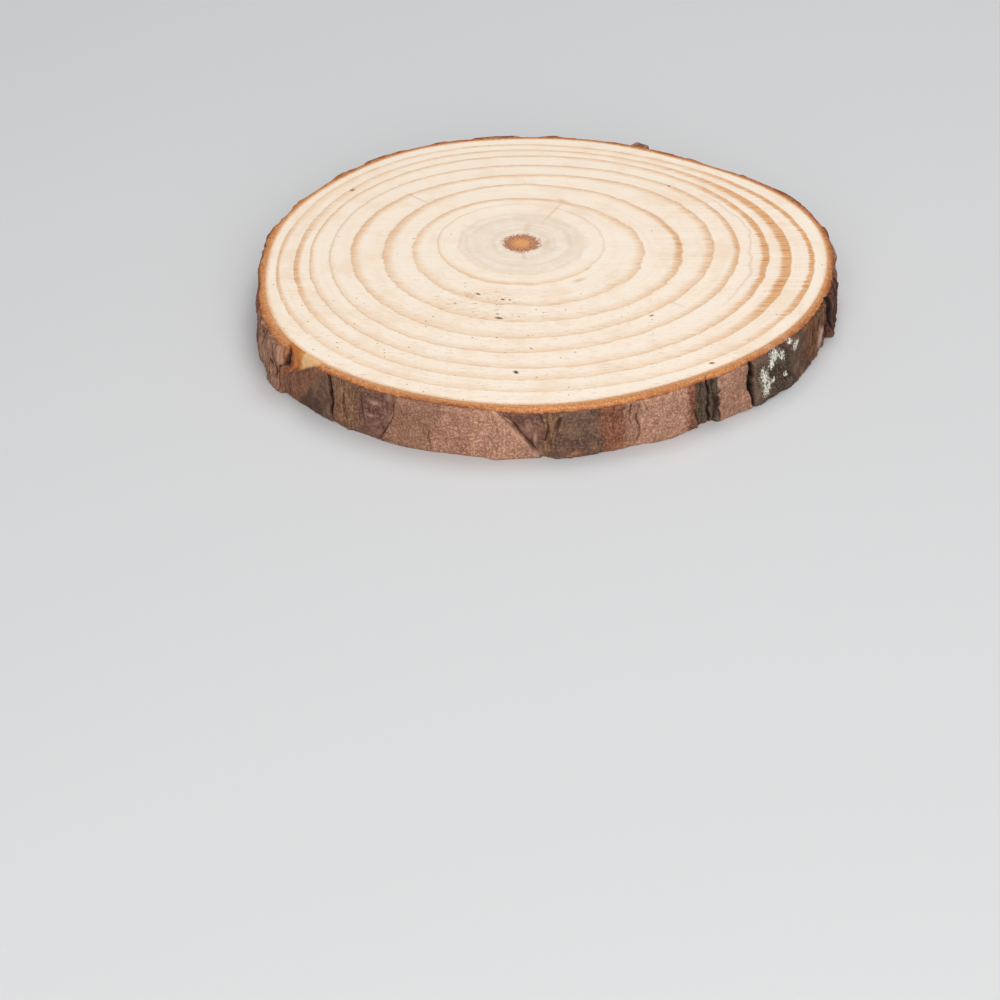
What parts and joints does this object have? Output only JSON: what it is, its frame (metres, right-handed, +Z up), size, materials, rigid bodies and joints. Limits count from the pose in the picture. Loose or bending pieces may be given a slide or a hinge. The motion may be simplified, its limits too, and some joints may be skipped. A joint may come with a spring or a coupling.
{
  "type": "wood slice",
  "caption": "Egg-shaped slice sawn across a young pine trunk: a flat disc of pale wood with a ring of cracked, plated bark, flat on both sawn faces.",
  "frame": {"origin": "middle of the slice's box, on the sawn face that it lies on", "axes": "+Z up along the trunk to the other sawn face; +X along the longest way across, from the pith to the right of the side that faces the viewer; +Y away from the viewer"},
  "size_m": [0.1026, 0.0988, 0.0095],
  "materials": {
    "wood": "sawn across the grain, dry and matt, with growth rings",
    "bark": "rough weathered bark plates with dark cracks and a sawn orange-brown rim"
  },
  "bodies": {
    "root": {"wood": "wood", "bark": "bark"}
  },
  "joints": []
}
